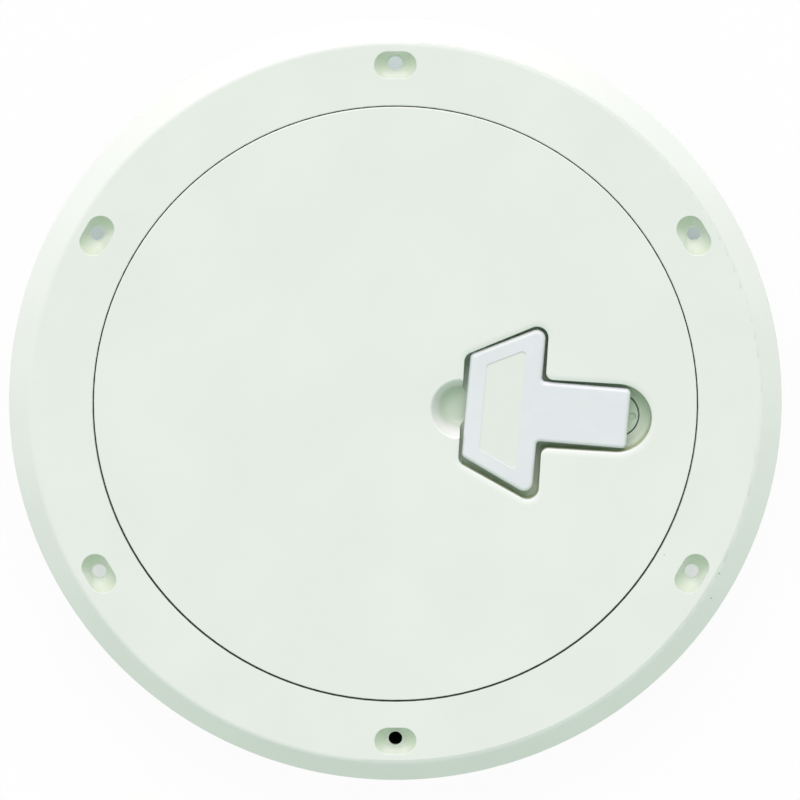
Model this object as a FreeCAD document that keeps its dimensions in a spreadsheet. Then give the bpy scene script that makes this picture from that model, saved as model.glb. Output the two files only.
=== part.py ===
import FreeCAD, Part
import math
import os
import re

import Sketcher

# A flush round access hatch for a deck: a flange with a collar, a loose lift-out lid, and a latch whose
# T-shaped handle folds up out of its recess and then turns a cam from under the frame's ledge.
# Millimetres. +Z points up out of the deck, the origin is on the hatch's axis in the deck's plane, and
# +X runs from that axis to the latch. The latch pieces and the handle are drawn about the latch's axis.

SIZES = {
    # Frame: flange
    "flange_width": 31.55,
    "flange_height": 6.5,
    "flange_edge": 1.2,
    "flange_wall": 3.0,
    "bevel_width": 8.0,
    "bevel_soft": 3.0,
    "foot_soft": 0.5,
    "rim_foot": 2.6,
    "inner_foot": 3.0,
    "flange_rib_wall": 1.8,
    "flange_rib_count": 24,
    "flange_rib_rise": 0.5,
    # Frame: collar and ledge
    "collar_wall": 3.5,
    "collar_depth": 26.0,
    "ledge_drop": 8.0,
    "ledge_wall": 2.8,
    "ledge_width": 10.5,
    "ledge_lip_wall": 1.5,
    "ledge_lip_rise": 1.2,
    # Frame: slotted countersinks for the deck screws
    "screw_inset": 16.25,
    "screw_count": 6,
    "screw_turn": 3.5,
    "screw_hole": 2.6,
    "sink_radius": 5.05,
    "sink_shift": 2.8,
    "sink_land": 0.4,
    "seat_radius": 2.9,
    "seat_shift": 0.3,
    "seat_height": 1.2,
    "sink_soft": 0.25,
    "screw_boss": 7.0,
    # Lid
    "lid_radius": 113.0,
    "lid_gap": 0.45,
    "lid_skin": 3.0,
    "lid_band": 4.0,
    "lid_relief": 0.6,
    "lid_soft": 0.4,
    "skirt_wall": 2.4,
    "foot_width": 6.4,
    "foot_wall": 2.0,
    "lid_rib_wall": 2.0,
    "lid_rib_depth": 6.0,
    "lid_rib_count": 12,
    "hub_ring": 20.0,
    "middle_ring": 64.0,
    # Seal
    "seal_height": 2.6,
    "seal_width": 6.0,
    "seal_inset": 1.4,
    "seal_soft": 1.6,
    # Recess and finger scoop in the lid
    "latch_inset": 29.85,
    "recess_depth": 8.0,
    "recess_gap": 1.65,
    "recess_margin": 1.35,
    "recess_dip": 0.42,
    "recess_edge": 0.5,
    "recess_brow": 6.0,
    "recess_root": 2.0,
    "recess_near_corner": 4.3,
    "recess_far_corner": 3.8,
    "recess_inner_corner": 2.8,
    "tray_wall": 2.5,
    "scoop_radius": 12.15,
    "scoop_beyond": 1.79,
    "scoop_slope": 60.0,
    "scoop_root": 3.5,
    "scoop_rim": 1.5,
    "scoop_lip": 0.06,
    # Handle
    "head_far": 56.7,
    "head_near": 29.15,
    "head_half": 19.5,
    "head_slant": 26.0,
    "stem_half": 11.45,
    "stem_end": 4.45,
    "handle_drop": 0.8,
    "plate_wall": 2.0,
    "handle_edge": 1.6,
    "handle_under_edge": 0.3,
    "head_near_corner": 3.4,
    "head_far_corner": 2.0,
    "head_inner_corner": 1.4,
    "stem_corner": 1.9,
    "panel_depth": 0.3,
    "panel_far_inset": 6.3,
    "panel_near_inset": 6.8,
    "panel_side_inset": 5.7,
    "panel_corner": 1.5,
    "core_inset": 6.5,
    "core_rise": 1.8,
    "core_wall": 1.8,
    "spine_half": 4.8,
    "cheek_length": 5.5,
    "cheek_step": 0.5,
    # Hinge
    "pin_radius": 1.25,
    "pin_height": 3.3,
    "pin_play": 0.05,
    "ear_radius": 2.4,
    "ear_inner": 3.2,
    "ear_wall": 3.0,
    "ear_gap": 0.25,
    "stop_gap": 0.3,
    # Barrel
    "latch_play": 1.35,
    "barrel_radius": 8.2,
    "barrel_gap": 0.55,
    "barrel_head": 3.5,
    "barrel_soft": 0.3,
    "shank_radius": 6.0,
    "shank_play": 0.05,
    "square_half": 4.0,
    "square_play": 0.1,
    "dimple_radius": 1.45,
    "dimple_offset": 6.0,
    "dimple_depth": 1.1,
    "dimple_soft": 0.4,
    "ring_section": 0.9,
    "ring_drop": 0.8,
    "ring_slack": 0.3,
    # Stack under the lid
    "barrel_boss": 12.0,
    "thrust_radius": 10.5,
    "thrust_wall": 1.0,
    "spring_radius": 9.8,
    "spring_wall": 0.6,
    "spring_rise": 1.1,
    "cam_gap": 0.3,
    "cam_wall": 4.0,
    "cam_hub": 9.5,
    "cam_root_half": 7.6,
    "cam_half": 6.0,
    "cam_hook": 5.0,
    "cam_corner": 2.5,
    "cam_ramp": 1.2,
    "washer_radius": 6.5,
    "washer_wall": 1.2,
    "cam_screw_radius": 2.5,
    "cam_screw_grip": 9.0,
    "cam_screw_head": 4.7,
    "cam_screw_head_height": 3.0,
    "cam_screw_soft": 1.0,
    # Tongue opposite the latch
    "tongue_gap": 0.3,
    "tongue_angle": 26.0,
    "tongue_hook": 5.0,
    "tongue_root": 17.0,
    "tongue_wall": 4.0,
    "tongue_ramp": 1.2,
    "tongue_boss": 5.0,
    "tongue_boss_inset": 10.0,
    "tongue_web": 2.5,
    "tongue_screw_turn": 8.0,
    "tongue_screw_radius": 2.1,
    "tongue_screw_grip": 11.0,
    "tongue_screw_head": 4.0,
    "tongue_screw_head_height": 2.4,
    "tongue_screw_soft": 0.8,
    # Drives in the screw heads
    "socket_radius": 1.6,
    "socket_depth": 1.6,
}

# Places and sizes that follow from the ones above. Heights are over the deck's plane.
RULES = {
    "throat": "lid_radius + lid_gap",
    "flange_radius": "throat + flange_width",
    "flange_under": "flange_height - flange_wall",
    "bevel_radius": "flange_radius - bevel_width",
    "bevel_slope": "(flange_height - flange_edge) / bevel_width",
    "rim_inner": "flange_radius - rim_foot",
    "hollow_corner": "rim_inner - flange_under / bevel_slope",
    "screw_circle": "flange_radius - screw_inset",
    "collar_radius": "throat + collar_wall",
    "ledge_radius": "throat - ledge_width",
    "ledge_under": "-ledge_drop - ledge_wall",
    "screw_first": "screw_turn + 180 / screw_count",
    "skirt_radius": "lid_radius - lid_relief",
    "skirt_inner": "skirt_radius - skirt_wall",
    "skin_under": "flange_height - lid_skin",
    "lid_foot": "seal_height - ledge_drop",
    "seal_outer": "throat - seal_inset",
    "latch_offset": "lid_radius - latch_inset",
    "recess_floor": "flange_height - recess_depth",
    "tray_under": "recess_floor - tray_wall",
    "recess_half": "stem_half + recess_gap",
    "scoop_top": "scoop_radius - scoop_rim * tan(scoop_slope / 2)",
    "scoop_foot": "scoop_top - (recess_depth + scoop_lip) / tan(scoop_slope)",
    "scoop_place": "latch_offset - head_far - scoop_beyond",
    "handle_top": "flange_height - handle_drop",
    "plate_under": "handle_top - plate_wall",
    "core_under": "recess_floor + core_rise",
    "pin_level": "recess_floor + pin_height",
    "stem_beyond_pin": "pin_height - stop_gap",
    "pin_place": "stem_end - stem_beyond_pin",
    "ear_outer": "ear_inner + ear_wall",
    "barrel_shoulder": "recess_floor - barrel_head",
    "groove_radius": "shank_radius + shank_play - 2 * ring_section",
    "groove_top": "barrel_shoulder - ring_drop",
    "groove_floor": "groove_top - 2 * ring_section - ring_slack",
    "cam_top": "ledge_under - cam_gap",
    "cam_under": "cam_top - cam_wall",
    "boss_under": "cam_top + spring_rise + thrust_wall",
    "cam_reach": "ledge_radius - latch_offset + cam_hook",
    "tongue_top": "ledge_under - tongue_gap",
    "tongue_under": "tongue_top - tongue_wall",
    "tongue_outer": "ledge_radius + tongue_hook",
    "tongue_inner": "ledge_radius - tongue_root",
    "tongue_screw_circle": "ledge_radius - tongue_boss_inset",
}

SOCKET_SIDES = 6
SOCKET_TURN = 15  # degrees from the screw's x to the socket's first corner
SIDES = (("left", ""), ("right", "-"))  # the two mirrored places of a paired feature

EMBED = 1.0  # how far a feature reaches into the piece that it is built on, so that they join
NEAR = 0.01  # how close an edge must lie to the place that is looked for

WORD = re.compile("[a-z_]+")

doc = FreeCAD.newDocument("access_hatch")
dims = doc.addObject("Spreadsheet::Sheet", "dims")
for row, (name, size) in enumerate(SIZES.items(), 1):
    dims.set(f"A{row}", str(size))
    dims.setAlias(f"A{row}", name)
doc.recompute()


def rule(text):
    """Writes out a size: a derived name becomes its rule, and a driving name its cell in the sheet."""

    def written(match):
        name = match.group()
        if name in RULES:
            return f"({rule(RULES[name])})"
        return f"dims.{name}" if name in SIZES else name

    return WORD.sub(written, text)


def value(text):
    return float(dims.evalExpression(rule(text)))


def bind(thing, prop, text):
    thing.setExpression(prop, rule(text))


def new_body(name, about_latch=False):
    """A body for one piece. Latch pieces are drawn about the latch's axis, turned back by its play."""
    made = doc.addObject("PartDesign::Body", name)
    made.Label = name
    if about_latch:
        bind(made, "Placement.Base.x", "latch_offset")
        bind(made, "Placement.Rotation.Angle", "-latch_play")
    return made


def origin_part(body, role):
    return next(part for part in body.Origin.OriginFeatures if part.Role == role)


def new_sketch(body, name, plane="XY_Plane", lift="0", shift="0", turn="0"):
    """A sketch on a plane of the body, lifted along its normal, shifted along its x and turned."""
    made = body.newObject("Sketcher::SketchObject", name)
    made.AttachmentSupport = (origin_part(body, plane), [""])
    made.MapMode = "FlatFace"
    bind(made, "AttachmentOffset.Base.x", shift)
    bind(made, "AttachmentOffset.Base.z", lift)
    bind(made, "AttachmentOffset.Rotation.Angle", turn)
    return made


def arc_between(start, end, radius, bulge):
    """The short arc from start to end. Bulge is 1 where it swells to the left of the way, else -1."""
    way = end - start
    middle = (start + end) * 0.5
    left = FreeCAD.Vector(-way.y, way.x, 0).normalize()
    sagitta_side = math.sqrt(radius * radius - way.Length * way.Length / 4)
    centre = middle - left * (bulge * sagitta_side)
    first, last = (end, start) if bulge > 0 else (start, end)
    angles = [math.atan2(point.y - centre.y, point.x - centre.x) for point in (first, last)]
    return Part.ArcOfCircle(Part.Circle(centre, FreeCAD.Vector(0, 0, 1), radius), *angles)


def place_point(sketch, edge, end, x_text, y_text):
    """Ties a point of the sketch to its two sizes, or to an axis where one of them is nothing."""
    for kind, text, axis in (("DistanceX", x_text, -2), ("DistanceY", y_text, -1)):
        if text == "0":
            sketch.addConstraint(Sketcher.Constraint("PointOnObject", edge, end, axis))
        else:
            number = sketch.addConstraint(Sketcher.Constraint(kind, -1, 1, edge, end, value(text)))
            bind(sketch, f"Constraints[{number}]", text)


def draw_loop(sketch, corners):
    """A closed loop of (x, y) corners. (x, y, radius, bulge) starts an arc instead of a line."""
    points = [FreeCAD.Vector(value(corner[0]), value(corner[1]), 0) for corner in corners]
    edges = []
    for index, corner in enumerate(corners):
        start, end = points[index], points[(index + 1) % len(points)]
        if len(corner) == 2:
            edges.append((sketch.addGeometry(Part.LineSegment(start, end)), 1, 2))
            continue
        radius_text, bulge = corner[2:]
        edge = sketch.addGeometry(arc_between(start, end, value(radius_text), bulge))
        edges.append((edge, 2, 1) if bulge > 0 else (edge, 1, 2))
        number = sketch.addConstraint(Sketcher.Constraint("Radius", edge, value(radius_text)))
        bind(sketch, f"Constraints[{number}]", radius_text)
    for index, (edge, start, _) in enumerate(edges):
        before, _, end = edges[index - 1]
        sketch.addConstraint(Sketcher.Constraint("Coincident", before, end, edge, start))
        place_point(sketch, edge, start, *corners[index][:2])


def draw_circle(sketch, x_text, y_text, radius_text):
    centre = FreeCAD.Vector(value(x_text), value(y_text), 0)
    circle = Part.Circle(centre, FreeCAD.Vector(0, 0, 1), value(radius_text))
    edge = sketch.addGeometry(circle)
    place_point(sketch, edge, 3, x_text, y_text)
    number = sketch.addConstraint(Sketcher.Constraint("Radius", edge, value(radius_text)))
    bind(sketch, f"Constraints[{number}]", radius_text)


def draw_stadium(sketch, x_text, half_text, radius_text):
    """A slot outline across the sketch's x: its two end centres lie half either side of the x axis."""
    left, right = f"{x_text} - {radius_text}", f"{x_text} + {radius_text}"
    low, high = f"-{half_text}", half_text
    near, far = value(left), value(right)
    centres = [FreeCAD.Vector(value(x_text), value(end), 0) for end in (high, low)]
    up = FreeCAD.Vector(0, 0, 1)
    radius = value(radius_text)
    sketch.addGeometry(Part.ArcOfCircle(Part.Circle(centres[0], up, radius), 0, math.pi))
    sketch.addGeometry(Part.LineSegment(*[FreeCAD.Vector(near, value(end), 0) for end in (high, low)]))
    sketch.addGeometry(Part.ArcOfCircle(Part.Circle(centres[1], up, radius), math.pi, 2 * math.pi))
    sketch.addGeometry(Part.LineSegment(*[FreeCAD.Vector(far, value(end), 0) for end in (low, high)]))
    for edge, following in ((0, 1), (1, 2), (2, 3), (3, 0)):
        sketch.addConstraint(Sketcher.Constraint("Tangent", edge, 2, following, 1))
    place_point(sketch, 0, 3, x_text, high)
    number = sketch.addConstraint(Sketcher.Constraint("DistanceY", -1, 1, 2, 3, value(low)))
    bind(sketch, f"Constraints[{number}]", low)
    sketch.addConstraint(Sketcher.Constraint("Vertical", 1))
    number = sketch.addConstraint(Sketcher.Constraint("Radius", 0, radius))
    bind(sketch, f"Constraints[{number}]", radius_text)


def finish(body, feature):
    """Makes the feature the body's last one and works it out."""
    body.Tip = feature
    doc.recompute()
    return feature


def extrude(body, name, sketch, length, cut=False, down=False, both_ways=False):
    """A pad, or a pocket where cut is set. Down points it against the sketch's normal."""
    made = body.newObject("PartDesign::Pocket" if cut else "PartDesign::Pad", name)
    made.Profile = sketch
    bind(made, "Length", length)
    made.Reversed = down != cut
    if both_ways:
        made.SideType = "Symmetric"
    return finish(body, made)


def revolve(body, name, sketch, cut=False, angle=None):
    """Turns a sketch about its own vertical axis, all the way or, centred on the sketch, by an angle."""
    made = body.newObject("PartDesign::Groove" if cut else "PartDesign::Revolution", name)
    made.Profile = sketch
    made.ReferenceAxis = (sketch, ["V_Axis"])
    if angle:
        made.Midplane = True
        bind(made, "Angle", angle)
    else:
        made.Angle = 360
    return finish(body, made)


def turned_piece(name, corners, about_latch=False):
    """A body made by turning one closed outline about its axis."""
    body = new_body(name, about_latch)
    section = new_sketch(body, f"{name}_section", "XZ_Plane")
    draw_loop(section, corners)
    revolve(body, f"{name}_turned", section)
    return body


def round_pad(body, name, x_text, y_text, radius, level, height, **ways):
    sketch = new_sketch(body, f"{name}_circle", lift=level, turn=ways.pop("turn", "0"))
    draw_circle(sketch, x_text, y_text, radius)
    return extrude(body, name, sketch, height, **ways)


def pattern(body, name, features, count):
    made = body.newObject("PartDesign::PolarPattern", name)
    made.Originals = features
    made.Axis = (origin_part(body, "Z_Axis"), [""])
    made.Angle = 360
    bind(made, "Occurrences", count)
    return finish(body, made)


def soften(body, name, base, edges, radius):
    """Rounds the named edges of the feature that the body ends in."""
    if not edges:
        raise RuntimeError(f"{name} found no edges")
    made = body.newObject("PartDesign::Fillet", name)
    made.Base = (base, edges)
    bind(made, "Radius", radius)
    return finish(body, made)


def bevel(body, name, base, edges, size, other=None):
    """Cuts the named edges off at an angle, by one size or by two."""
    if not edges:
        raise RuntimeError(f"{name} found no edges")
    made = body.newObject("PartDesign::Chamfer", name)
    made.Base = (base, edges)
    bind(made, "Size", size)
    if other:
        made.ChamferType = "Two distances"
        bind(made, "Size2", other)
    return finish(body, made)


def edges_of(feature, wanted):
    return [f"Edge{n}" for n, edge in enumerate(feature.Shape.Edges, 1) if wanted(edge)]


def samples(edge):
    first, last = edge.ParameterRange
    return [edge.valueAt(first + (last - first) * part / 4) for part in range(5)]


def upright_edges(feature, *places):
    """The vertical edges that stand at the given (x, y) places."""
    spots = [(value(x), value(y)) for x, y in places]

    def wanted(edge):
        points = samples(edge)
        tall = abs(points[0].z - points[-1].z) > NEAR
        return tall and any(
            all(math.hypot(point.x - x, point.y - y) < NEAR for point in points) for x, y in spots
        )

    return edges_of(feature, wanted)


def level_edges(feature, level, wanted=lambda point: True):
    """The edges that lie at one height, with every point wanted."""
    height = value(level)
    return edges_of(
        feature,
        lambda edge: all(abs(point.z - height) < NEAR and wanted(point) for point in samples(edge)),
    )


def circle_edges(feature, radius, level):
    """The edges round the body's own axis, of one radius and at one height."""
    size = value(radius)
    return level_edges(feature, level, lambda point: abs(math.hypot(point.x, point.y) - size) < NEAR)


def head_side(x_text, offset):
    """Half the head's width at x, with its slanted side moved out by an offset."""
    return f"head_half + ({x_text} + head_far) * tan(head_slant) + ({offset}) / cos(head_slant)"


def head_places(far_offset, near_offset, side_offset):
    """The x and half width of the head's far and near ends, each side moved out by its offset."""
    far, near = f"-head_far - ({far_offset})", f"({near_offset}) - head_near"
    return far, head_side(far, side_offset), near, head_side(near, side_offset)


def handle_outline(offset, end, stem="stem_half"):
    """The T outline about the latch's axis, moved out by an offset, with its stem ending at a given x."""
    far, far_half, near, near_half = head_places(offset, offset, offset)
    half = f"{stem} + ({offset})"
    upper = [(end, half), (near, half), (near, near_half), (far, far_half)]
    return upper + [(x, f"-({y})") for x, y in reversed(upper)]


def head_outline(far_offset, near_offset, side_offset):
    far, far_half, near, near_half = head_places(far_offset, near_offset, side_offset)
    return [(near, near_half), (far, far_half), (far, f"-({far_half})"), (near, f"-({near_half})")]


def mirrored(x_text, y_text):
    return [(x_text, y_text), (x_text, f"-({y_text})")]


def hatch_frame():
    body = new_body("hatch_frame")
    section = new_sketch(body, "frame_section", "XZ_Plane")
    draw_loop(
        section,
        [
            ("throat", "flange_height"),
            ("bevel_radius", "flange_height"),
            ("flange_radius", "flange_edge"),
            ("flange_radius", "0"),
            ("rim_inner", "0"),
            ("hollow_corner", "flange_under"),
            ("collar_radius + inner_foot", "flange_under"),
            ("collar_radius + inner_foot", "0"),
            ("collar_radius", "0"),
            ("collar_radius", "-collar_depth"),
            ("throat", "-collar_depth"),
            ("throat", "ledge_under"),
            ("ledge_radius", "ledge_under"),
            ("ledge_radius", "ledge_lip_rise - ledge_drop"),
            ("ledge_radius + ledge_lip_wall", "ledge_lip_rise - ledge_drop"),
            ("ledge_radius + ledge_lip_wall", "-ledge_drop"),
            ("throat", "-ledge_drop"),
        ],
    )
    shell = revolve(body, "frame_shell", section)
    shell = soften(
        body, "bevel_edge", shell, circle_edges(shell, "bevel_radius", "flange_height"), "bevel_soft"
    )
    edges = circle_edges(shell, "flange_radius", "flange_edge")
    edges += circle_edges(shell, "throat", "flange_height")
    soften(body, "flange_edges", shell, edges, "foot_soft")

    # Radial ribs stiffen the hollow flange between its two feet, halfway between the screws.
    rib_sketch = new_sketch(
        body, "frame_rib_outline", lift="flange_rib_rise", turn="screw_turn + 180 / flange_rib_count"
    )
    inner, outer, half = f"collar_radius + inner_foot - {EMBED}", "hollow_corner", "flange_rib_wall / 2"
    draw_loop(rib_sketch, [(inner, f"-{half}"), (outer, f"-{half}"), (outer, half), (inner, half)])
    rib = extrude(body, "frame_rib", rib_sketch, f"flange_under - flange_rib_rise + {EMBED}")
    pattern(body, "frame_ribs", [rib], "flange_rib_count")

    boss_height = f"flange_under + {EMBED}"
    boss = round_pad(
        body, "screw_boss", "screw_circle", "0", "screw_boss", "0", boss_height, turn="screw_first"
    )
    mouth = new_sketch(body, "sink_mouth_outline", lift="flange_height", turn="screw_first")
    draw_stadium(mouth, "screw_circle", "sink_shift", "sink_radius")
    mouth = extrude(body, "sink_mouth", mouth, "sink_land", cut=True, down=True)
    top = new_sketch(body, "sink_top", lift="flange_height - sink_land", turn="screw_first")
    draw_stadium(top, "screw_circle", "sink_shift", "sink_radius")
    seat = new_sketch(body, "sink_seat", lift="seat_height", turn="screw_first")
    draw_stadium(seat, "screw_circle", "seat_shift", "seat_radius")
    sink = body.newObject("PartDesign::SubtractiveLoft", "countersink")
    sink.Profile = top
    sink.Sections = [seat]
    sink.Ruled = True
    finish(body, sink)
    hole = round_pad(
        body, "screw_hole", "screw_circle", "0", "screw_hole", "0", "flange_height", turn="screw_first",
        cut=True,
    )
    holes = pattern(body, "screw_holes", [boss, mouth, sink, hole], "screw_count")
    circle, reach = value("screw_circle"), value("sink_radius") + EMBED
    rims = level_edges(
        holes, "flange_height", lambda point: abs(math.hypot(point.x, point.y) - circle) < reach
    )
    soften(body, "sink_rims", holes, rims, "sink_soft")
    return body


def lid():
    body = new_body("lid")
    section = new_sketch(body, "lid_section", "XZ_Plane")
    draw_loop(
        section,
        [
            ("0", "flange_height"),
            ("lid_radius", "flange_height"),
            ("lid_radius", "flange_height - lid_band"),
            ("skirt_radius", "flange_height - lid_band"),
            ("skirt_radius", "lid_foot"),
            ("skirt_radius - foot_width", "lid_foot"),
            ("skirt_radius - foot_width", "lid_foot + foot_wall"),
            ("skirt_inner", "lid_foot + foot_wall"),
            ("skirt_inner", "skin_under"),
            ("0", "skin_under"),
        ],
    )
    shell = revolve(body, "lid_shell", section)
    soften(body, "lid_edge", shell, circle_edges(shell, "lid_radius", "flange_height"), "lid_soft")

    # Ribs under the skin: spokes from the hub ring to the skirt, and two rings
    rib_depth = f"lid_rib_depth + {EMBED}"
    spoke_sketch = new_sketch(
        body, "spoke_outline", lift=f"skin_under + {EMBED}", turn="180 / lid_rib_count"
    )
    outer, half = f"skirt_inner + {EMBED}", "lid_rib_wall / 2"
    inner = "hub_ring"
    draw_loop(spoke_sketch, [(inner, f"-{half}"), (outer, f"-{half}"), (outer, half), (inner, half)])
    spoke = extrude(body, "spoke", spoke_sketch, rib_depth, down=True)
    pattern(body, "spokes", [spoke], "lid_rib_count")
    for ring in ("hub_ring", "middle_ring"):
        sketch = new_sketch(body, f"{ring}_outline", lift=f"skin_under + {EMBED}")
        draw_circle(sketch, "0", "0", f"{ring} + {half}")
        draw_circle(sketch, "0", "0", f"{ring} - {half}")
        extrude(body, f"{ring}_wall", sketch, rib_depth, down=True)

    # Tray walls below the skin, round the recess, the scoop and the barrel
    level = f"skin_under + {EMBED}"
    tray_depth = f"{level} - tray_under"
    tray = new_sketch(body, "tray_outline", lift=level, shift="latch_offset")
    draw_loop(tray, handle_outline("recess_gap + tray_wall", "0"))
    extrude(body, "tray_head", tray, tray_depth, down=True)
    round_pad(
        body, "tray_end", "latch_offset", "0", "recess_half + tray_wall", level, tray_depth, down=True
    )
    bowl = new_sketch(body, "bowl_section", "XZ_Plane", shift="scoop_place")
    low, high = (
        f"scoop_foot + (({z}) - recess_floor) / tan(scoop_slope) + tray_wall / sin(scoop_slope)"
        for z in ("tray_under", level)
    )
    draw_loop(bowl, [("0", "tray_under"), (low, "tray_under"), (high, level), ("0", level)])
    revolve(body, "scoop_wall", bowl)
    round_pad(
        body, "barrel_boss", "latch_offset", "0", "barrel_boss", "boss_under",
        f"tray_under - boss_under + {EMBED}",
    )

    # Tongue bosses and the curved web that joins them
    for side, sign in SIDES:
        round_pad(
            body, f"tongue_boss_{side}", "tongue_screw_circle", "0", "tongue_boss", "tongue_top",
            f"skin_under - tongue_top + {EMBED}", turn=f"180 + {sign}tongue_screw_turn",
        )
    web = new_sketch(body, "web_section", "XZ_Plane")
    near, far = "tongue_web / 2 - tongue_screw_circle", "-tongue_web / 2 - tongue_screw_circle"
    draw_loop(web, [(near, "tongue_top"), (near, level), (far, level), (far, "tongue_top")])
    revolve(body, "tongue_web", web, angle="tongue_angle")

    # The recess for the handle, with rounded corners and root, and a shallow sloping margin round it
    floor_cut = f"recess_depth + {EMBED}"
    head = new_sketch(body, "recess_outline", lift=f"flange_height + {EMBED}", shift="latch_offset")
    draw_loop(head, handle_outline("recess_gap", "0"))
    extrude(body, "recess_head", head, floor_cut, cut=True, down=True)
    base = round_pad(
        body, "recess_end", "latch_offset", "0", "recess_half", f"flange_height + {EMBED}", floor_cut,
        cut=True, down=True,
    )
    far, far_half, near, near_half = head_places("recess_gap", "recess_gap", "recess_gap")
    for name, x_text, y_text, radius in (
        ("recess_near_corners", near, near_half, "recess_near_corner"),
        ("recess_far_corners", far, far_half, "recess_far_corner"),
        ("recess_inner_corners", near, "recess_half", "recess_inner_corner"),
    ):
        corners = upright_edges(base, *mirrored(f"latch_offset + ({x_text})", y_text))
        base = soften(body, name, base, corners, radius)
    root = level_edges(base, "recess_floor")
    base = soften(body, "recess_root_round", base, root, "recess_root")
    inside = value("lid_radius") - EMBED
    rim = level_edges(base, "flange_height", lambda point: math.hypot(point.x, point.y) < inside)
    base = bevel(body, "recess_margin_slope", base, rim, "recess_dip", "recess_margin")
    edge = level_edges(base, "flange_height - recess_dip")
    base = soften(body, "recess_edge_round", base, edge, "recess_edge")
    brow = level_edges(base, "flange_height", lambda point: math.hypot(point.x, point.y) < inside)
    soften(body, "recess_brow_round", base, brow, "recess_brow")

    # The finger scoop: a dish as deep as the recess, whose rim flares into the lid's top
    scoop = new_sketch(body, "scoop_section", "XZ_Plane", shift="scoop_place")
    above = f"flange_height + {EMBED}"
    rim = "flange_height + scoop_lip"
    root_run, rim_run = (f"{radius} * tan(scoop_slope / 2)" for radius in ("scoop_root", "scoop_rim"))
    draw_loop(
        scoop,
        [
            ("0", "recess_floor"),
            (f"scoop_foot - {root_run}", "recess_floor", "scoop_root", -1),
            (
                f"scoop_foot + {root_run} * cos(scoop_slope)",
                f"recess_floor + {root_run} * sin(scoop_slope)",
            ),
            (
                f"scoop_top - {rim_run} * cos(scoop_slope)",
                f"{rim} - {rim_run} * sin(scoop_slope)",
                "scoop_rim",
                1,
            ),
            ("scoop_radius", rim),
            ("scoop_radius", above),
            ("0", above),
        ],
    )
    revolve(body, "finger_scoop", scoop, cut=True)

    # The barrel's bore: a wide mouth for its head and a running fit for its shank
    round_pad(
        body, "barrel_mouth", "latch_offset", "0", "barrel_radius + barrel_gap", "recess_floor + barrel_gap",
        "barrel_head + barrel_gap", cut=True, down=True,
    )
    round_pad(
        body, "barrel_bore", "latch_offset", "0", "shank_radius + shank_play", "recess_floor",
        "recess_floor - boss_under", cut=True, down=True,
    )
    for side, sign in SIDES:
        round_pad(
            body, f"tongue_pilot_{side}", "tongue_screw_circle", "0", "tongue_screw_radius", "tongue_top",
            "tongue_screw_grip - tongue_wall", cut=True, turn=f"180 + {sign}tongue_screw_turn",
        )
    return body


def lid_seal():
    body = turned_piece(
        "lid_seal",
        [
            ("seal_outer - seal_width", "-ledge_drop"),
            ("seal_outer", "-ledge_drop"),
            ("seal_outer", "lid_foot"),
            ("seal_outer - seal_width", "lid_foot"),
        ],
    )
    crown = level_edges(body.Tip, "lid_foot")
    soften(body, "seal_crown", body.Tip, crown, "seal_soft")
    return body


def lid_tongue():
    body = new_body("lid_tongue")
    section = new_sketch(body, "tongue_section", "XZ_Plane")
    near, far, low, high = "-tongue_inner", "-tongue_outer", "tongue_under", "tongue_top"
    draw_loop(section, [(near, low), (near, high), (far, high), (far, low)])
    plate = revolve(body, "tongue_plate", section, angle="tongue_angle")
    nose = circle_edges(plate, "tongue_outer", "tongue_top")
    bevel(body, "tongue_nose", plate, nose, "tongue_ramp")
    for side, sign in SIDES:
        round_pad(
            body, f"tongue_hole_{side}", "tongue_screw_circle", "0", "tongue_screw_radius", "tongue_under",
            "tongue_wall", cut=True, turn=f"180 + {sign}tongue_screw_turn",
        )
    return body


def socket(body, about, head_under, turn="0"):
    """A hexagon socket in the underside of a screw's head."""
    sketch = new_sketch(body, "socket_outline", lift=head_under, turn=turn)
    angles = [SOCKET_TURN + n * 360 / SOCKET_SIDES for n in range(SOCKET_SIDES)]
    draw_loop(sketch, [(f"{about} + socket_radius * cos({a})", f"socket_radius * sin({a})") for a in angles])
    extrude(body, "socket", sketch, "socket_depth", cut=True)


def tongue_screw(number, turn):
    body = new_body(f"tongue_screw_{number}")
    head_under = "tongue_under - tongue_screw_head_height"
    head = round_pad(
        body, "screw_head", "tongue_screw_circle", "0", "tongue_screw_head", head_under,
        "tongue_screw_head_height", turn=turn,
    )
    soften(body, "head_edge", head, level_edges(head, head_under), "tongue_screw_soft")
    round_pad(
        body, "screw_shank", "tongue_screw_circle", "0", "tongue_screw_radius",
        f"tongue_under - {EMBED}", f"tongue_screw_grip + {EMBED}", turn=turn,
    )
    socket(body, "tongue_screw_circle", head_under, turn)
    return body


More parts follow.
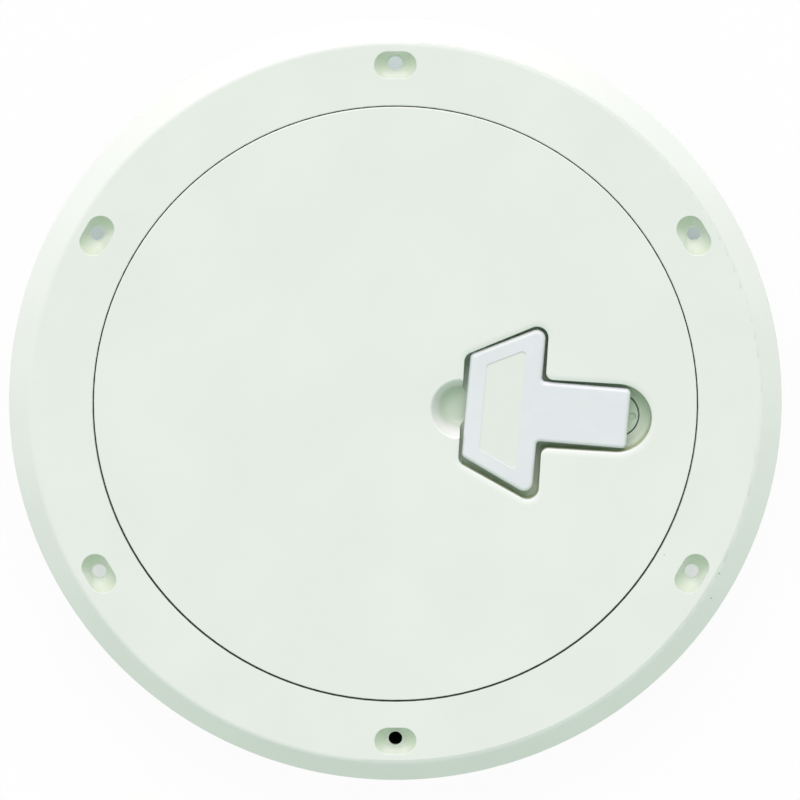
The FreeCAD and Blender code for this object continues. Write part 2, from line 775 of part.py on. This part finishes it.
def latch_barrel():
    body = turned_piece(
        "latch_barrel",
        [
            ("0", "recess_floor"),
            ("barrel_radius", "recess_floor"),
            ("barrel_radius", "barrel_shoulder"),
            ("shank_radius", "barrel_shoulder"),
            ("shank_radius", "groove_top"),
            ("groove_radius", "groove_top"),
            ("groove_radius", "groove_floor"),
            ("shank_radius", "groove_floor"),
            ("shank_radius", "cam_top"),
            ("0", "cam_top"),
        ],
        about_latch=True,
    )
    face = circle_edges(body.Tip, "barrel_radius", "recess_floor")
    soften(body, "face_edge", body.Tip, face, "barrel_soft")

    square = new_sketch(body, "square_outline", lift=f"cam_top + {EMBED}")
    half = "square_half"
    draw_loop(square, [(half, half), (f"-{half}", half), (f"-{half}", f"-{half}"), (half, f"-{half}")])
    extrude(body, "square", square, f"cam_wall - square_play + {EMBED}", down=True)

    # Two ears carry the hinge pin, either side of the handle's knuckle.
    ears = new_sketch(body, "ear_outline", "XZ_Plane")
    left, right, root = "pin_place - ear_radius", "pin_place + ear_radius", f"recess_floor - {EMBED}"
    crown = "pin_level + ear_radius"
    draw_loop(ears, [(left, root), (right, root), (right, crown), (left, crown)])
    block = extrude(body, "ear_block", ears, "2 * ear_outer", both_ways=True)
    shoulders = [
        *level_edges(block, crown, lambda point: abs(point.x - value(left)) < NEAR),
        *level_edges(block, crown, lambda point: abs(point.x - value(right)) < NEAR),
    ]
    soften(body, "ear_round", block, shoulders, f"ear_radius - {NEAR}")
    slot = new_sketch(body, "ear_slot_outline", "XZ_Plane")
    left, right = f"{left} - {EMBED}", f"{right} + {EMBED}"
    crown = f"{crown} + {EMBED}"
    draw_loop(slot, [(left, "recess_floor"), (right, "recess_floor"), (right, crown), (left, crown)])
    extrude(body, "ear_slot", slot, "2 * ear_inner", cut=True, both_ways=True)
    hole = new_sketch(body, "ear_hole_outline", "XZ_Plane")
    draw_circle(hole, "pin_place", "pin_level", "pin_radius + pin_play")
    extrude(body, "ear_hole", hole, f"2 * ear_outer + {EMBED}", cut=True, both_ways=True)

    dimple = round_pad(
        body, "dimple", "dimple_offset", "0", "dimple_radius", "recess_floor", "dimple_depth", cut=True,
        down=True,
    )
    root = level_edges(dimple, "recess_floor - dimple_depth")
    soften(body, "dimple_root", dimple, root, "dimple_soft")
    round_pad(
        body, "tapped_hole", "0", "0", "cam_screw_radius", "cam_under", "cam_screw_grip - washer_wall",
        cut=True,
    )
    return body


def barrel_ring():
    """The O-ring, which fills its groove out to the bore's wall."""
    made = doc.addObject("Part::Torus", "barrel_ring")
    made.Label = "barrel_ring"
    bind(made, "Radius1", "groove_radius + ring_section")
    bind(made, "Radius2", "ring_section - shank_play / 2")
    bind(made, "Placement.Base.x", "latch_offset")
    bind(made, "Placement.Base.z", "(groove_top + groove_floor) / 2")
    return made


def thrust_washer():
    return turned_piece(
        "thrust_washer",
        [
            ("shank_radius + shank_play", "boss_under"),
            ("shank_radius + shank_play", "boss_under - thrust_wall"),
            ("thrust_radius", "boss_under - thrust_wall"),
            ("thrust_radius", "boss_under"),
        ],
        about_latch=True,
    )


def disc_spring():
    """A coned spring washer: its inner edge bears on the thrust washer and its outer edge on the cam."""
    return turned_piece(
        "disc_spring",
        [
            ("shank_radius + shank_play", "boss_under - thrust_wall"),
            ("shank_radius + shank_play", "boss_under - thrust_wall - spring_wall"),
            ("spring_radius", "cam_top"),
            ("spring_radius", "cam_top + spring_wall"),
        ],
        about_latch=True,
    )


def latch_cam():
    body = new_body("latch_cam", about_latch=True)
    hub = round_pad(body, "cam_hub", "0", "0", "cam_hub", "cam_under", "cam_wall")
    arm = new_sketch(body, "arm_outline", lift="cam_under")
    wide, tip = "cam_root_half", "cam_half"
    draw_loop(arm, [("0", f"-{wide}"), ("cam_reach", f"-{tip}"), ("cam_reach", tip), ("0", wide)])
    base = extrude(body, "cam_arm", arm, "cam_wall")
    corners = upright_edges(base, ("cam_reach", "cam_half"), ("cam_reach", "-cam_half"))
    base = soften(body, "nose_corners", base, corners, "cam_corner")
    nose = value("cam_reach - cam_corner") - NEAR
    ramp = level_edges(base, "cam_top", lambda point: point.x > nose)
    base = bevel(body, "nose_ramp", base, ramp, "cam_ramp")
    square = new_sketch(body, "cam_square", lift="cam_under")
    half = "square_half + square_play"
    draw_loop(
        square, [(half, half), (f"-({half})", half), (f"-({half})", f"-({half})"), (half, f"-({half})")]
    )
    extrude(body, "cam_hole", square, "cam_wall", cut=True)
    return body


def cam_washer():
    return turned_piece(
        "cam_washer",
        [
            ("cam_screw_radius", "cam_under"),
            ("cam_screw_radius", "cam_under - washer_wall"),
            ("washer_radius", "cam_under - washer_wall"),
            ("washer_radius", "cam_under"),
        ],
        about_latch=True,
    )


def cam_screw():
    body = new_body("cam_screw", about_latch=True)
    seat = "(cam_under - washer_wall)"
    head_under = f"{seat} - cam_screw_head_height"
    head = round_pad(body, "screw_head", "0", "0", "cam_screw_head", head_under, "cam_screw_head_height")
    soften(body, "head_edge", head, level_edges(head, head_under), "cam_screw_soft")
    round_pad(
        body, "screw_shank", "0", "0", "cam_screw_radius", f"{seat} - {EMBED}", f"cam_screw_grip + {EMBED}"
    )
    socket(body, "0", head_under)
    return body


def handle():
    body = new_body("handle", about_latch=True)
    outline = new_sketch(body, "handle_outline", lift="handle_top")
    draw_loop(outline, handle_outline("0", "stem_end"))
    base = extrude(body, "handle_plate", outline, "plate_wall", down=True)
    far, far_half, near, near_half = head_places("0", "0", "0")
    for name, x_text, y_text, radius in (
        ("near_corners", near, near_half, "head_near_corner"),
        ("far_corners", far, far_half, "head_far_corner"),
        ("inner_corners", near, "stem_half", "head_inner_corner"),
        ("end_corners", "stem_end", "stem_half", "stem_corner"),
    ):
        base = soften(body, name, base, upright_edges(base, *mirrored(x_text, y_text)), radius)
    base = soften(body, "top_edge", base, level_edges(base, "handle_top"), "handle_edge")
    soften(body, "under_edge", base, level_edges(base, "plate_under"), "handle_under_edge")

    # A hollow core under the head and a spine under the stem stiffen the plate.
    level = f"plate_under + {EMBED} / 2"
    core_depth = f"{level} - core_under"
    core = new_sketch(body, "core_outline", lift=level)
    far, far_half, near, near_half = head_places("-core_inset", "-core_inset", "-core_inset")
    upper = [("-cheek_length", "spine_half"), (near, "spine_half"), (near, near_half), (far, far_half)]
    draw_loop(core, upper + [(x, f"-({y})") for x, y in reversed(upper)])
    extrude(body, "core", core, core_depth, down=True)
    hollow = new_sketch(body, "core_hollow_outline", lift="plate_under")
    inset = "-core_inset - core_wall"
    draw_loop(hollow, head_outline(inset, inset, inset))
    extrude(body, "core_hollow", hollow, "plate_under - core_under", cut=True, down=True)
    trough = new_sketch(body, "spine_hollow_outline", lift="plate_under")
    start, end, half = "-head_near - core_inset", "-cheek_length", "spine_half - core_wall"
    draw_loop(trough, [(start, f"-({half})"), (end, f"-({half})"), (end, half), (start, half)])
    extrude(body, "spine_hollow", trough, "plate_under - core_under", cut=True, down=True)

    # Cheeks and knuckle round the hinge pin, with slots that clear the ears as the handle swings up
    cheek_half = "stem_half - cheek_step"
    cheek_end = "stem_end - cheek_step"
    under = "pin_level - stem_beyond_pin"
    cheeks = new_sketch(body, "cheek_outline", lift=level)
    corners = [(cheek_end, cheek_half), ("-cheek_length", cheek_half)]
    draw_loop(cheeks, corners + [(x, f"-({y})") for x, y in reversed(corners)])
    base = extrude(body, "cheeks", cheeks, f"{level} - ({under})", down=True)
    low = level_edges(base, under, lambda point: abs(point.x - value(cheek_end)) < NEAR)
    base = soften(body, "cheek_round", base, low, "stem_beyond_pin - cheek_step")
    slot = "(ear_radius + ear_gap)"
    for side, sign in SIDES:
        name = f"ear_slot_{side}"
        sketch = new_sketch(body, f"{name}_outline", lift=f"pin_level + {slot}")
        inner, outer = f"{sign}(ear_inner - ear_gap)", f"{sign}(ear_outer + ear_gap)"
        begin, end = f"pin_place - {slot}", f"stem_end + {EMBED}"
        draw_loop(sketch, [(begin, inner), (end, inner), (end, outer), (begin, outer)])
        extrude(body, name, sketch, f"{slot} + stem_beyond_pin + {EMBED}", cut=True, down=True)
    hole = new_sketch(body, "pin_hole_outline", "XZ_Plane")
    draw_circle(hole, "pin_place", "pin_level", "pin_radius")
    extrude(body, "pin_hole", hole, "2 * stem_half", cut=True, both_ways=True)

    # The plain inset panel on top of the head
    panel = new_sketch(body, "panel_outline", lift="handle_top")
    offsets = ("-panel_far_inset", "-panel_near_inset", "-panel_side_inset")
    draw_loop(panel, head_outline(*offsets))
    base = extrude(body, "panel", panel, "panel_depth", cut=True, down=True)
    far, far_half, near, near_half = head_places(*offsets)
    corners = upright_edges(base, *mirrored(far, far_half), *mirrored(near, near_half))
    soften(body, "panel_corners", base, corners, "panel_corner")
    return body


def hinge_pin():
    body = new_body("hinge_pin", about_latch=True)
    sketch = new_sketch(body, "pin_outline", "XZ_Plane")
    draw_circle(sketch, "pin_place", "pin_level", "pin_radius")
    extrude(body, "pin", sketch, "2 * (stem_half - cheek_step)", both_ways=True)
    return body


PIECES = [
    hatch_frame(),
    lid(),
    lid_seal(),
    lid_tongue(),
    tongue_screw(1, "180 - tongue_screw_turn"),
    tongue_screw(2, "180 + tongue_screw_turn"),
    latch_barrel(),
    barrel_ring(),
    thrust_washer(),
    disc_spring(),
    latch_cam(),
    cam_washer(),
    cam_screw(),
    handle(),
    hinge_pin(),
]

doc.recompute()
for thing in doc.Objects:
    if {"Invalid", "Error"} & set(thing.State):
        raise RuntimeError(f"{thing.Name} did not work out")
for piece in PIECES:
    if piece.Shape.isNull() or not piece.Shape.isValid() or len(piece.Shape.Solids) != 1:
        raise RuntimeError(f"{piece.Label} is not one sound solid")

os.makedirs("parts", exist_ok=True)
for piece in PIECES:
    piece.Shape.exportStep(f"parts/{piece.Label}.step")
    print(f"{piece.Label}: {piece.Shape.Volume:.0f} mm3")
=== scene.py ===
import math

import bmesh
import bpy
from mathutils import Matrix, Vector

# A round flush access hatch of off-white moulded plastic, with its T-shaped latch handle folded down.
# Metres. +Z points up out of the deck, the origin is on the hatch's axis in the deck's plane, and +X
# runs from that axis to the latch.

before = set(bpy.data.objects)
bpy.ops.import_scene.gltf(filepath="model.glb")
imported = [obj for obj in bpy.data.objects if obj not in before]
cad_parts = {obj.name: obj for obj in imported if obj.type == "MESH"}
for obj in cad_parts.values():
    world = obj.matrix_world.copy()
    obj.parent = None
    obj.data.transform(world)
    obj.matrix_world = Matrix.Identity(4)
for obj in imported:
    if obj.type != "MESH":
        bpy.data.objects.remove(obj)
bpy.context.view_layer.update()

MM = 0.001
WHITE = (1.0, 1.0, 1.0, 1.0)

# Levels on the hatch
FACE_LEVEL = 6.5 * MM
PANEL_LEVEL = 5.4 * MM
RECESS_FLOOR = -1.5 * MM
COLLAR_END = -26.0 * MM

# The screws' countersinks, and the seam round the lid with the frame's throat below it
SCREW_CIRCLE = 128.75 * MM
LOWEST_SCREW = math.radians(273.5)
SCREW_STEP = math.radians(60)
SINK_INNER = 121.75 * MM
SINK_OUTER = 134.75 * MM
SINK_HALF_LENGTH = 8.0 * MM
SEAM_REACH = 116.75 * MM
SEAM_DEPTH = 5.0 * MM

# The handle and its recess: a head that narrows towards its far edge, a stem, and the finger scoop
LATCH_X = 83.15 * MM
HEAD_FAR = 26.45 * MM
HEAD_NEAR = 54.0 * MM
HEAD_HALF = 19.5 * MM
HEAD_SLANT = math.radians(26)
STEM_HALF = 11.45 * MM
RECESS_GAP = 1.65 * MM
RECESS_MARGIN = 1.8 * MM
SCOOP_X = 24.66 * MM
SCOOP_RADIUS = 12.15 * MM

# Specks seen on the plastic: x, y and radius in millimetres
FRAME_SPECKS = ((125.5, -56.8, 0.35), (123.2, -66.7, 0.35), (104.4, -50.8, 0.2))
LID_SPECK = (23.5, 11.6, 0.2)

# The stage: a wide floor, where the hatch's shadow fades past its edge, and a patch in the lowest hole
FLOOR_RADIUS = 3.0
FLOOR_DROP = 0.05 * MM
UNDER_HATCH = 132.75 * MM
SHADOW_START = 133.5 * MM
SHADOW_END = 139.5 * MM
DARK_PATCH_RADIUS = 3.6 * MM
DARK_PATCH_LEVEL = -0.1 * MM

# The light: greenish all round, and a broad rosy lamp that makes it white on what faces up
SKY = (0.582, 0.698, 0.586, 1.0)
LAMP_COLOUR = (1.0, 0.809, 0.921)
LAMP_ENERGY = 2.23
LAMP_ANGLE = math.radians(50)
LAMP_FROM_UP = math.radians(54)
LAMP_ROUND_BY = math.radians(98.5)

# The photograph's view: the hatch is turned a little and seen from slightly beyond its upper side
VIEW_TURN = math.radians(3.5)
VIEW_TILT = math.radians(10.3)
VIEW_DISTANCE = 3.4
PIXEL = 0.3754 * MM
FRAME_PIXELS = 800
CENTRE_SHIFT = (4.6, 2.55)
CENTRE_LEVEL = 0.6 * MM


class Signal:
    """A number or colour that varies over a surface. Arithmetic on it adds the Math nodes it needs."""

    def __init__(self, finish, socket):
        self.finish, self.socket = finish, socket

    def math(self, operation, *values):
        return self.finish.node("ShaderNodeMath", {"operation": operation}, dict(enumerate(values)))

    def __add__(self, other):
        return self.math("ADD", self, other)

    __radd__ = __add__

    def __sub__(self, other):
        return self.math("SUBTRACT", self, other)

    def __rsub__(self, other):
        return self.math("SUBTRACT", other, self)

    def __mul__(self, other):
        return self.math("MULTIPLY", self, other)

    __rmul__ = __mul__

    def __gt__(self, other):
        return self.math("GREATER_THAN", self, other)

    def __lt__(self, other):
        return self.math("LESS_THAN", self, other)

    def root(self):
        return self.math("SQRT", self)

    def larger(self, other):
        return self.math("MAXIMUM", self, other)

    def between(self, start, end):
        """1 from start to end and 0 elsewhere."""
        return (self > start) * (self < end)

    def over(self, start, end):
        """0 before start and 1 past end, with a smooth step in between. Start may be the larger."""
        settings = {"interpolation_type": "SMOOTHSTEP"}
        sockets = {"Value": self, "From Min": start, "From Max": end}
        return self.finish.node("ShaderNodeMapRange", settings, sockets)


class Finish:
    """One material of the hatch."""

    def __init__(self, name):
        self.material = bpy.data.materials.new(name)
        self.material.use_nodes = True
        self.tree = self.material.node_tree
        self.surface = self.tree.nodes["Principled BSDF"]
        self.place = self.node("ShaderNodeTexCoord", output="Object")
        self.x, self.y, self.z = (
            self.node("ShaderNodeSeparateXYZ", None, {0: self.place}, output=axis) for axis in "XYZ"
        )
        self.radius = self.away(0.0)
        self.beside = self.y.math("ABSOLUTE", self.y)

    def node(self, kind, settings=None, sockets=None, output=0):
        """Adds a node. Its settings come first, then the values or links of its inputs."""
        made = self.tree.nodes.new(kind)
        for name, setting in (settings or {}).items():
            setattr(made, name, setting)
        for name, given in (sockets or {}).items():
            self.feed(made.inputs[name], given)
        return Signal(self, made.outputs[output])

    def away(self, x, y=0.0):
        """Distance in plan from a point."""
        across, along = self.x - x, self.y - y
        return (across * across + along * along).root()

    def feed(self, socket, given):
        if isinstance(given, Signal):
            self.tree.links.new(given.socket, socket)
        else:
            socket.default_value = given

    def set(self, **sockets):
        """Sets the surface's sockets, with _ for the space in a socket's name."""
        for name, given in sockets.items():
            self.feed(self.surface.inputs[name.replace("_", " ")], given)

    def noise(self, size, detail=2.0, roughness=0.5, place=None):
        """Cloudy noise round 0.5 whose lumps are about that size in metres."""
        sockets = {
            "Vector": place or self.place,
            "Scale": 1 / size,
            "Detail": detail,
            "Roughness": roughness,
        }
        return self.node("ShaderNodeTexNoise", None, sockets)

    def mix(self, factor, first, second):
        """The first colour where the factor is 0, and the second where it is 1."""
        sockets = {0: factor, 6: first, 7: second}
        return self.node("ShaderNodeMix", {"data_type": "RGBA"}, sockets, output=2)

    def stretched(self, *scale):
        """The place on the piece, stretched along its axes."""
        settings = {"vector_type": "POINT"}
        return self.node("ShaderNodeMapping", settings, {"Vector": self.place, "Scale": scale})

    def bump(self, height, depth, normal=None):
        """A normal that follows a height from 0 to 1, over a depth in metres."""
        sockets = {"Height": height, "Distance": depth, "Strength": 1.0}
        if normal:
            sockets["Normal"] = normal
        return self.node("ShaderNodeBump", None, sockets)

    def spots(self, *spots):
        """1 inside small ragged spots, each given as x, y and radius in millimetres."""
        ragged = 0.5 * MM * self.noise(0.5 * MM)
        mask = None
        for x, y, size in spots:
            away = self.away(x * MM, y * MM) + ragged
            spot = away.over(size * MM + 0.35 * MM, size * MM + 0.1 * MM)
            mask = spot if mask is None else mask.larger(spot)
        return mask


def tint(red, green, blue):
    """A colour written as it shows, from 0 to 255."""

    def linear(level):
        share = level / 255
        return share / 12.92 if share <= 0.04045 else ((share + 0.055) / 1.055) ** 2.4

    return (linear(red), linear(green), linear(blue), 1.0)


def off_white(made, cloud):
    """The hatch's off-white plastic, a little uneven."""
    return made.mix(cloud.over(0.35, 0.65), tint(230, 233, 232), tint(232, 235, 234))


def shaded_sinks(made, colour, below):
    """Painted shade in the countersinks: greener and darker below the face, and darker still towards
    the two ends of each slot.
    """
    angle = made.y.math("ARCTAN2", made.y, made.x)
    turned = angle - (LOWEST_SCREW - math.tau)
    from_screw = made.radius * turned.math("PINGPONG", turned, SCREW_STEP / 2)
    sink = (from_screw < SINK_HALF_LENGTH) * made.radius.between(SINK_INNER, SINK_OUTER)
    sink = sink * below.over(0.05 * MM, 0.3 * MM) * (below < FACE_LEVEL)
    dust_and_shade = made.mix(below.over(0.3 * MM, 3.5 * MM), tint(213, 223, 211), tint(217, 226, 215))
    dust_and_shade = made.mix(from_screw.over(3 * MM, 6 * MM) * 0.25, dust_and_shade, tint(176, 198, 158))
    return made.mix(sink, colour, dust_and_shade)


def shaded_seam(made, colour, below):
    """Painted shade on the frame's side of the seam round the lid, dark in its lower half and pale in
    its upper.
    """
    seam = below.over(0.01 * MM, 0.15 * MM) * (below < SEAM_DEPTH) * (made.radius < SEAM_REACH)
    seam_shade = made.mix(made.y.over(40 * MM, -80 * MM), tint(230, 240, 226), tint(38, 48, 28))
    return made.mix(seam * 0.9, colour, seam_shade)


def frame_plastic():
    """Smooth satin moulding with faint flow clouds, painted shade in the countersinks and the seam,
    and three small specks.
    """
    made = Finish("frame_plastic")
    cloud = made.noise(30 * MM, detail=3.0)
    below = FACE_LEVEL - made.z
    # Painted shade in the countersinks and in the seam round the lid.
    colour = shaded_sinks(made, off_white(made, cloud), below)
    colour = shaded_seam(made, colour, below)
    colour = made.mix(made.spots(*FRAME_SPECKS) * 0.55, colour, tint(92, 90, 78))
    grain = made.noise(0.5 * MM, detail=3.0)
    ripple = made.noise(9 * MM, detail=1.0)
    made.set(
        Base_Color=colour,
        Roughness=0.36 + 0.10 * cloud,
        IOR=1.45,
        Normal=made.bump(grain, 0.006 * MM, made.bump(ripple, 0.03 * MM)),
    )
    return made.material


def inside_recess(made):
    """1 inside the outline of the handle's recess and its finger scoop, down to the recess's floor."""
    margin = RECESS_GAP + RECESS_MARGIN
    half = HEAD_HALF + margin / math.cos(HEAD_SLANT)
    slant = (made.x - HEAD_FAR) * math.tan(HEAD_SLANT) + half
    head = made.x.between(HEAD_FAR - margin, HEAD_NEAR + margin) * (made.beside < slant)
    stem = made.x.between(HEAD_NEAR, LATCH_X) * (made.beside < STEM_HALF + margin)
    end = made.away(LATCH_X) < STEM_HALF + margin
    scoop = made.away(SCOOP_X) < SCOOP_RADIUS + 0.5 * MM
    outline = head.larger(stem).larger(end).larger(scoop)
    return outline * (made.z > RECESS_FLOOR - 0.5 * MM)


def shaded_recess(made, colour):
    """Painted shade in the recess: greener and darker below the face, darker still on the walls, and
    less of it at the scoop's upper edge.
    """
    scoop = made.x.over(HEAD_FAR + 1.5 * MM, HEAD_FAR - 1.5 * MM) * (made.beside < SCOOP_RADIUS)
    wall = made.z.over(RECESS_FLOOR + 0.2 * MM, RECESS_FLOOR + 1.6 * MM) * (made.x > HEAD_FAR)
    dust_and_shade = made.mix(scoop, tint(209, 222, 208), tint(208, 222, 206))
    dust_and_shade = made.mix(wall, dust_and_shade, tint(180, 194, 160))
    deep = made.z.over(5.8 * MM, 3.5 * MM)
    deep = deep + scoop * (made.z.over(4.5 * MM, RECESS_FLOOR) - deep)
    return made.mix(deep * inside_recess(made), colour, dust_and_shade)


def lid_plastic():
    """The same plastic with a fine moulded grain, painted shade in the handle's recess, and a speck
    beside the finger scoop.
    """
    made = Finish("lid_plastic")
    colour = shaded_recess(made, off_white(made, made.noise(40 * MM, detail=3.0)))
    colour = made.mix(made.spots(LID_SPECK) * 0.6, colour, tint(120, 118, 100))
    pits = made.noise(0.9 * MM, detail=4.0, roughness=0.65)
    made.set(
        Base_Color=colour,
        Roughness=0.42 + 0.12 * pits,
        Normal=made.bump(pits, 0.02 * MM),
    )
    return made.material


def handle_plastic():
    """Smooth cool white moulding, with a greener fine grain on the inset panel."""
    made = Finish("handle_plastic")
    panel = made.z.over(PANEL_LEVEL + 0.2 * MM, PANEL_LEVEL + 0.1 * MM)
    panel = panel * (made.z > PANEL_LEVEL - 0.2 * MM)
    panel = panel * made.x.between(HEAD_FAR + 3.5 * MM, HEAD_NEAR - 1.5 * MM)
    cloud = made.noise(12 * MM, detail=2.0)
    smooth = made.mix(cloud.over(0.35, 0.65), tint(226, 228, 236), tint(229, 231, 239))
    colour = made.mix(panel, smooth, tint(228, 231, 230))
    # Painted shade: darker and greener towards the handle's underside.
    colour = made.mix(made.z.over(5.0 * MM, 1.0 * MM) * 0.4, colour, tint(180, 196, 160))
    grain = made.noise(0.7 * MM, detail=4.0, roughness=0.7)
    made.set(
        Base_Color=colour,
        Roughness=0.30 + 0.22 * panel + 0.06 * cloud,
        Normal=made.bump(grain * (panel * 0.9 + 0.1), 0.03 * MM),
    )
    return made.material


def barrel_plastic():
    """The turning barrel: smooth moulding with faint concentric turning marks on its face."""
    made = Finish("barrel_plastic")
    ring = made.away(LATCH_X)
    marks = made.node("ShaderNodeTexNoise", {"noise_dimensions": "1D"}, {"W": ring, "Scale": 1400.0})
    made.set(
        # Painted shade: the barrel is greener and darker than the lid's plastic, as its face sits down
        # at the recess's floor.
        Base_Color=made.mix(made.noise(5 * MM), tint(208, 224, 208), tint(214, 229, 214)),
        Roughness=0.34 + 0.1 * marks,
        Normal=made.bump(marks, 0.008 * MM),
    )
    return made.material


def rubber(name):
    """Dull black rubber with a bloom of grey dust."""
    made = Finish(name)
    dust_and_shade = made.noise(2.5 * MM, detail=4.0, roughness=0.6)
    made.set(
        Base_Color=made.mix(dust_and_shade.over(0.45, 0.75) * 0.5, tint(24, 24, 24), tint(64, 64, 62)),
        Roughness=0.62 + 0.2 * dust_and_shade,
        Normal=made.bump(dust_and_shade, 0.04 * MM),
    )
    return made.material


def steel(name, colour, grain=(1.0, 26.0, 26.0)):
    """Stainless steel brushed along one way."""
    made = Finish(name)
    brushed = made.noise(1.4 * MM, detail=4.0, roughness=0.7, place=made.stretched(*grain))
    stain = made.noise(7 * MM, detail=3.0)
    made.set(
        Base_Color=made.mix(stain.over(0.4, 0.7) * 0.3, colour, tint(168, 166, 160)),
        Metallic=1.0,
        Roughness=0.24 + 0.16 * brushed,
        Normal=made.bump(brushed, 0.006 * MM),
    )
    return made.material


def nylon():
    """Natural nylon, slightly yellow and waxy."""
    made = Finish("washer_plastic")
    cloud = made.noise(3 * MM, detail=2.0)
    made.set(
        Base_Color=made.mix(cloud, tint(218, 216, 200), tint(226, 224, 208)),
        Roughness=0.4 + 0.1 * cloud,
        Normal=made.bump(made.noise(0.4 * MM), 0.01 * MM),
    )
    return made.material


def floor_white(name):
    """A floor that the camera sees as white with a faint shadow, and that the light sees as white."""
    made = Finish(name)
    # Painted shade: under the hatch the floor is darker, most towards its upper side.
    under = made.mix(made.y.over(60 * MM, -60 * MM), tint(204, 218, 219), tint(226, 236, 234))
    colour = made.mix(made.radius < UNDER_HATCH, tint(240, 241, 240), under)
    made.set(Base_Color=colour, Roughness=0.9)
    seen = made.node("ShaderNodeLightPath", output="Is Camera Ray")
    for ray in ("Is Glossy Ray", "Is Transmission Ray"):
        seen = seen.larger(made.node("ShaderNodeLightPath", output=ray))
    beyond = made.radius.over(SHADOW_START, SHADOW_END)
    # Painted light: under the hatch the floor glows for the camera, more towards its lower side; past
    # the hatch's edge it glows almost white.
    lower = made.y.over(30 * MM, -60 * MM)
    factor = seen * (0.04 + 0.46 * lower * (1 - beyond) + 0.9 * beyond)
    glow = made.node("ShaderNodeEmission", None, {"Color": WHITE, "Strength": 1.0})
    plastic = Signal(made, made.surface.outputs[0])
    both = made.node("ShaderNodeMixShader", None, {0: factor, 1: plastic, 2: glow})
    made.feed(made.tree.nodes["Material Output"].inputs["Surface"], both)
    return made.material


def dark_paint(name):
    """Flat black without gloss."""
    made = Finish(name)
    made.set(Base_Color=tint(4, 5, 4), Roughness=0.9, IOR=1.0)
    return made.material


def disc(name, centre, radius, material):
    """A round flat sheet of the stage, parallel to the ground."""
    shape = bmesh.new()
    place = Matrix.Translation(centre)
    bmesh.ops.create_circle(shape, cap_ends=True, segments=96, radius=radius, matrix=place)
    mesh = bpy.data.meshes.new(name)
    shape.to_mesh(mesh)
    shape.free()
    mesh.materials.append(material)
    made = bpy.data.objects.new(name, mesh)
    bpy.context.scene.collection.objects.link(made)


def dress_pieces():
    """Gives each piece of the hatch its material."""
    bright = steel("fastener_steel", tint(205, 205, 203))
    brushed = steel("tongue_steel", tint(198, 198, 196))
    finishes = {
        "hatch_frame": frame_plastic(),
        "lid": lid_plastic(),
        "lid_seal": rubber("seal_rubber"),
        "lid_tongue": brushed,
        "tongue_screw_1": bright,
        "tongue_screw_2": bright,
        "latch_barrel": barrel_plastic(),
        "barrel_ring": rubber("ring_rubber"),
        "thrust_washer": nylon(),
        "disc_spring": bright,
        "latch_cam": steel("cam_steel", tint(196, 197, 196)),
        "cam_washer": bright,
        "cam_screw": bright,
        "handle": handle_plastic(),
        "hinge_pin": bright,
    }
    for name, finish in finishes.items():
        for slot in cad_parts[name].material_slots:
            slot.material = finish


def set_stage():
    """A pale floor under the collar, and a small black disc close under the lowest screw hole."""
    under = (0.0, 0.0, COLLAR_END - FLOOR_DROP)
    disc("floor", under, FLOOR_RADIUS, floor_white("floor_white"))
    hole = (
        SCREW_CIRCLE * math.cos(LOWEST_SCREW),
        SCREW_CIRCLE * math.sin(LOWEST_SCREW),
        DARK_PATCH_LEVEL,
    )
    disc("dark_patch", hole, DARK_PATCH_RADIUS, dark_paint("dark_patch"))


def light_stage():
    """Soft light all round, and a broad soft lamp from beyond the hatch's upper side."""
    world = bpy.data.worlds.new("studio")
    bpy.context.scene.world = world
    world.use_nodes = True
    nodes, links = world.node_tree.nodes, world.node_tree.links
    background = nodes["Background"]
    path = nodes.new("ShaderNodeLightPath")
    sky = nodes.new("ShaderNodeMix")
    sky.data_type = "RGBA"
    links.new(path.outputs["Is Camera Ray"], sky.inputs[0])
    sky.inputs[6].default_value = SKY
    sky.inputs[7].default_value = WHITE
    links.new(sky.outputs[2], background.inputs["Color"])
    lamp = bpy.data.lights.new("key", "SUN")
    lamp.energy = LAMP_ENERGY
    lamp.angle = LAMP_ANGLE
    lamp.color = LAMP_COLOUR
    key = bpy.data.objects.new("key", lamp)
    bpy.context.scene.collection.objects.link(key)
    way = Vector(
        (
            math.sin(LAMP_FROM_UP) * math.cos(LAMP_ROUND_BY),
            math.sin(LAMP_FROM_UP) * math.sin(LAMP_ROUND_BY),
            math.cos(LAMP_FROM_UP),
        )
    )
    key.rotation_euler = way.to_track_quat("Z", "Y").to_euler()


def place_camera():
    """A long lens at the photograph's angle, which frames the hatch as the photograph does."""
    right = Vector((math.cos(VIEW_TURN), math.sin(VIEW_TURN), 0.0))
    back = Vector(
        (
            -math.sin(VIEW_TURN) * math.sin(VIEW_TILT),
            math.cos(VIEW_TURN) * math.sin(VIEW_TILT),
            math.cos(VIEW_TILT),
        )
    )
    up = back.cross(right)
    shift = (right * CENTRE_SHIFT[0] + up * CENTRE_SHIFT[1]) * PIXEL
    target = Vector((0.0, 0.0, CENTRE_LEVEL)) + shift
    lens = bpy.data.cameras.new("camera")
    lens.sensor_width = 36.0
    lens.lens = lens.sensor_width * VIEW_DISTANCE / (PIXEL * FRAME_PIXELS)
    lens.clip_end = 20.0
    camera = bpy.data.objects.new("camera", lens)
    bpy.context.scene.collection.objects.link(camera)
    turn = Matrix((right, up, back)).transposed().to_4x4()
    camera.matrix_world = Matrix.Translation(target + back * VIEW_DISTANCE) @ turn
    bpy.context.scene.camera = camera


place_camera()
light_stage()
set_stage()
dress_pieces()

bpy.context.scene.view_settings.view_transform = "Standard"
